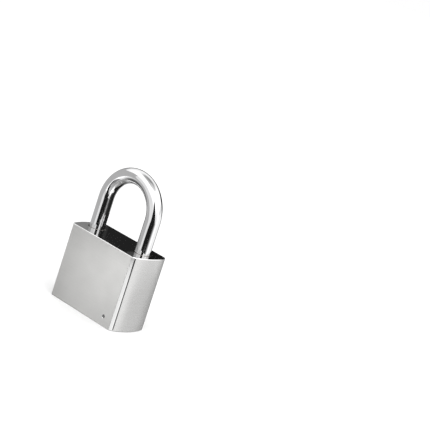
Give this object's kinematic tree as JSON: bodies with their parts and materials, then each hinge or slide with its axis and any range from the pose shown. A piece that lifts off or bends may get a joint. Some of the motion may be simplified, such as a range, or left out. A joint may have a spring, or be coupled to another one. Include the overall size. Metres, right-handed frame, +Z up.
{
  "type": "padlock",
  "caption": "Rectangular stainless padlock with bowed sides, a captive U-shaped shackle held by steel balls, and a flat-key pin cylinder in its underside.",
  "frame": {"origin": "centre of the body's underside", "axes": "+Z up the shackle, -Y out of the front face, +X towards the captive leg of the shackle"},
  "size_m": [0.05, 0.0244, 0.0765],
  "materials": {
    "satin_stainless": "satin ground faces with fine vertical grain, polished edges and polished top",
    "polished_chrome": "mirror polished",
    "bearing_steel": "polished hardened steel",
    "steel": "machined",
    "spring_steel": "drawn wire",
    "brass": "turned, matt",
    "nickel_plate": "nickel plated, finely turned"
  },
  "bodies": {
    "case": {"lock_body": "satin_stainless", "shackle_spring": "spring_steel", "heel_bore_plug": "satin_stainless", "heel_plug_pin": "steel", "shackle_retaining_pin": "steel", "cylinder_retaining_pin": "steel", "cylinder_housing": "brass", "chamber_cover_strip": "steel", "driver_spring_1": "spring_steel", "driver_spring_2": "spring_steel", "driver_spring_3": "spring_steel", "driver_spring_4": "spring_steel", "driver_spring_5": "spring_steel"},
    "plug": {"cylinder_plug": "nickel_plate", "cylinder_cam": "steel", "plug_retaining_clip": "spring_steel"},
    "shackle": {"shackle": "polished_chrome"},
    "ball_toe": {"locking_ball_toe": "bearing_steel"},
    "ball_heel": {"locking_ball_heel": "bearing_steel"},
    "key_pin_1": {"key_pin_1": "brass"},
    "driver_pin_1": {"driver_pin_1": "steel"},
    "key_pin_2": {"key_pin_2": "brass"},
    "driver_pin_2": {"driver_pin_2": "steel"},
    "key_pin_3": {"key_pin_3": "brass"},
    "driver_pin_3": {"driver_pin_3": "steel"},
    "key_pin_4": {"key_pin_4": "brass"},
    "driver_pin_4": {"driver_pin_4": "steel"},
    "key_pin_5": {"key_pin_5": "brass"},
    "driver_pin_5": {"driver_pin_5": "steel"}
  },
  "joints": [
    {"name": "plug_turn", "type": "hinge", "parent": "case", "child": "plug", "pos_m": [0, 0, 0], "axis": [0, 0, 1], "range_deg": [0, 90]},
    {"name": "shackle_lift", "type": "slide", "parent": "case", "child": "shackle", "axis": [0, 0, 1], "range_m": [0, 0.01], "deforming": ["shackle_spring"]},
    {"name": "ball_toe_slide", "type": "slide", "parent": "case", "child": "ball_toe", "axis": [1, 0, 0], "range_m": [0, 0.0042]},
    {"name": "ball_heel_slide", "type": "slide", "parent": "case", "child": "ball_heel", "axis": [-1, 0, 0], "range_m": [0, 0.0042]},
    {"name": "key_pin_1_drop", "type": "slide", "parent": "plug", "child": "key_pin_1", "axis": [0, 1, 0], "range_m": [-0.0014, 0]},
    {"name": "driver_pin_1_drop", "type": "slide", "parent": "case", "child": "driver_pin_1", "axis": [0, 1, 0], "range_m": [-0.0014, 0], "deforming": ["driver_spring_1"]},
    {"name": "key_pin_2_drop", "type": "slide", "parent": "plug", "child": "key_pin_2", "axis": [0, 1, 0], "range_m": [-0.0014, 0]},
    {"name": "driver_pin_2_drop", "type": "slide", "parent": "case", "child": "driver_pin_2", "axis": [0, 1, 0], "range_m": [-0.0014, 0], "deforming": ["driver_spring_2"]},
    {"name": "key_pin_3_drop", "type": "slide", "parent": "plug", "child": "key_pin_3", "axis": [0, 1, 0], "range_m": [-0.0014, 0]},
    {"name": "driver_pin_3_drop", "type": "slide", "parent": "case", "child": "driver_pin_3", "axis": [0, 1, 0], "range_m": [-0.0014, 0], "deforming": ["driver_spring_3"]},
    {"name": "key_pin_4_drop", "type": "slide", "parent": "plug", "child": "key_pin_4", "axis": [0, 1, 0], "range_m": [-0.0014, 0]},
    {"name": "driver_pin_4_drop", "type": "slide", "parent": "case", "child": "driver_pin_4", "axis": [0, 1, 0], "range_m": [-0.0014, 0], "deforming": ["driver_spring_4"]},
    {"name": "key_pin_5_drop", "type": "slide", "parent": "plug", "child": "key_pin_5", "axis": [0, 1, 0], "range_m": [-0.0014, 0]},
    {"name": "driver_pin_5_drop", "type": "slide", "parent": "case", "child": "driver_pin_5", "axis": [0, 1, 0], "range_m": [-0.0014, 0], "deforming": ["driver_spring_5"]}
  ],
  "couplings": [
    {"joint": "plug_turn", "follows": "shackle_lift", "rad_per_m": 157},
    {"joint": "ball_toe_slide", "follows": "shackle_lift", "ratio": 0.42},
    {"joint": "ball_heel_slide", "follows": "shackle_lift", "ratio": 0.42},
    {"joint": "driver_pin_1_drop", "follows": "key_pin_1_drop", "ratio": 1},
    {"joint": "driver_pin_2_drop", "follows": "key_pin_2_drop", "ratio": 1},
    {"joint": "driver_pin_3_drop", "follows": "key_pin_3_drop", "ratio": 1},
    {"joint": "driver_pin_4_drop", "follows": "key_pin_4_drop", "ratio": 1},
    {"joint": "driver_pin_5_drop", "follows": "key_pin_5_drop", "ratio": 1}
  ]
}
